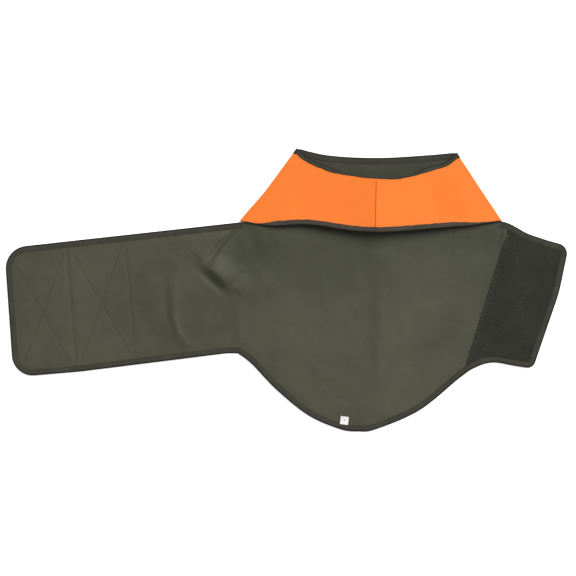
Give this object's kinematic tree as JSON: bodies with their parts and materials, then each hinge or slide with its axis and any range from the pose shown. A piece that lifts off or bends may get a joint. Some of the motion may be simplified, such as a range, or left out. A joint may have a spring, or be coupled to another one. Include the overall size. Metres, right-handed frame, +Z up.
{
  "type": "hunting dog vest",
  "caption": "Padded dog vest laid open: back saddle, closed neck and chest, long belly band with loop pads and a short flap with a hook pad.",
  "frame": {"origin": "under the middle of the vest as it lies open, on the table", "axes": "+X towards the closure flap, along the vest's greatest extent; +Y towards the neck; +Z up, out of the lining"},
  "size_m": [0.9026, 0.4556, 0.0354],
  "materials": {
    "orange_shell": "woven nylon, blaze orange",
    "padding": "thin foam, hidden",
    "olive_lining": "smooth satin lining, dark olive",
    "edge_tape": "woven binding tape, dark olive",
    "hook_tape": "hook tape, near black",
    "loop_tape": "loop tape, brushed dark olive",
    "label": "white woven label"
  },
  "bodies": {
    "spine": {"spine_shell": "orange_shell", "spine_padding": "padding", "spine_lining": "olive_lining", "spine_neck_tape": "edge_tape", "spine_hem_tape": "edge_tape"},
    "left_side": {"left_side_shell": "orange_shell", "left_side_padding": "padding", "left_side_lining": "olive_lining", "left_side_neck_tape": "edge_tape", "left_side_hem_tape": "edge_tape"},
    "right_side": {"right_side_shell": "orange_shell", "right_side_padding": "padding", "right_side_lining": "olive_lining", "right_side_neck_tape": "edge_tape", "right_side_hem_tape": "edge_tape"},
    "band_root": {"band_root_shell": "orange_shell", "band_root_padding": "padding", "band_root_lining": "olive_lining", "band_root_front_tape": "edge_tape", "band_root_rear_tape": "edge_tape"},
    "band_middle": {"band_middle_shell": "orange_shell", "band_middle_padding": "padding", "band_middle_lining": "olive_lining", "band_middle_front_tape": "edge_tape", "band_middle_rear_tape": "edge_tape", "loop_pad_middle": "loop_tape"},
    "band_end": {"band_end_shell": "orange_shell", "band_end_padding": "padding", "band_end_lining": "olive_lining", "band_end_tape": "edge_tape", "loop_pad_end": "loop_tape"},
    "closure_flap": {"closure_flap_shell": "orange_shell", "closure_flap_padding": "padding", "closure_flap_lining": "olive_lining", "closure_flap_tape": "edge_tape", "hook_pad": "hook_tape"},
    "chest_left": {"chest_left_shell": "orange_shell", "chest_left_padding": "padding", "chest_left_lining": "olive_lining", "chest_left_hem_tape": "edge_tape", "chest_left_neck_tape": "edge_tape"},
    "chest_right": {"chest_right_shell": "orange_shell", "chest_right_padding": "padding", "chest_right_lining": "olive_lining", "chest_right_hem_tape": "edge_tape", "chest_right_neck_tape": "edge_tape"},
    "size_label": {"size_label": "label"}
  },
  "joints": [
    {"name": "left_side_fold", "type": "hinge", "parent": "spine", "child": "left_side", "pos_m": [0.15016, 0.40931, 0.00545], "axis": [0.0793, 0.9968, 0], "range_deg": [0, 47]},
    {"name": "right_side_fold", "type": "hinge", "parent": "spine", "child": "right_side", "pos_m": [0.15016, 0.40931, 0.00545], "axis": [0.0253, -0.9997, 0], "range_deg": [0, 47]},
    {"name": "left_shoulder_fold", "type": "hinge", "parent": "left_side", "child": "chest_left", "pos_m": [0.15016, 0.40931, 0.00545], "axis": [-0.592, -0.8059, 0], "range_deg": [0, 97]},
    {"name": "right_shoulder_fold", "type": "hinge", "parent": "right_side", "child": "chest_right", "pos_m": [0.15016, 0.40931, 0.00545], "axis": [-0.5476, 0.8368, 0], "range_deg": [0, 97]},
    {"name": "band_root_fold", "type": "hinge", "parent": "left_side", "child": "band_root", "pos_m": [-0.07007, 0.10951, 0.00545], "axis": [0.0384, 0.9993, 0], "range_deg": [0, 86]},
    {"name": "band_middle_fold", "type": "hinge", "parent": "band_root", "child": "band_middle", "pos_m": [-0.2621, 0.08831, 0.00545], "axis": [-0.0837, 0.9965, 0], "range_deg": [0, 64]},
    {"name": "band_end_fold", "type": "hinge", "parent": "band_middle", "child": "band_end", "pos_m": [-0.35951, 0.07755, 0.00545], "axis": [-0.0837, 0.9965, 0], "range_deg": [0, 56]},
    {"name": "flap_fold", "type": "hinge", "parent": "right_side", "child": "closure_flap", "pos_m": [0.34714, 0.09979, 0.00545], "axis": [-0.294, -0.9558, 0], "range_deg": [0, 60]},
    {"name": "label_fold", "type": "hinge", "parent": "left_side", "child": "size_label", "pos_m": [0.09238, -0.21603, 0.0056], "axis": [0.992, -0.1261, 0], "range_deg": [0, 110]}
  ],
  "couplings": [
    {"joint": "right_side_fold", "follows": "left_side_fold", "ratio": 1},
    {"joint": "left_shoulder_fold", "follows": "left_side_fold", "ratio": 2.063},
    {"joint": "right_shoulder_fold", "follows": "left_side_fold", "ratio": 2.063}
  ]
}
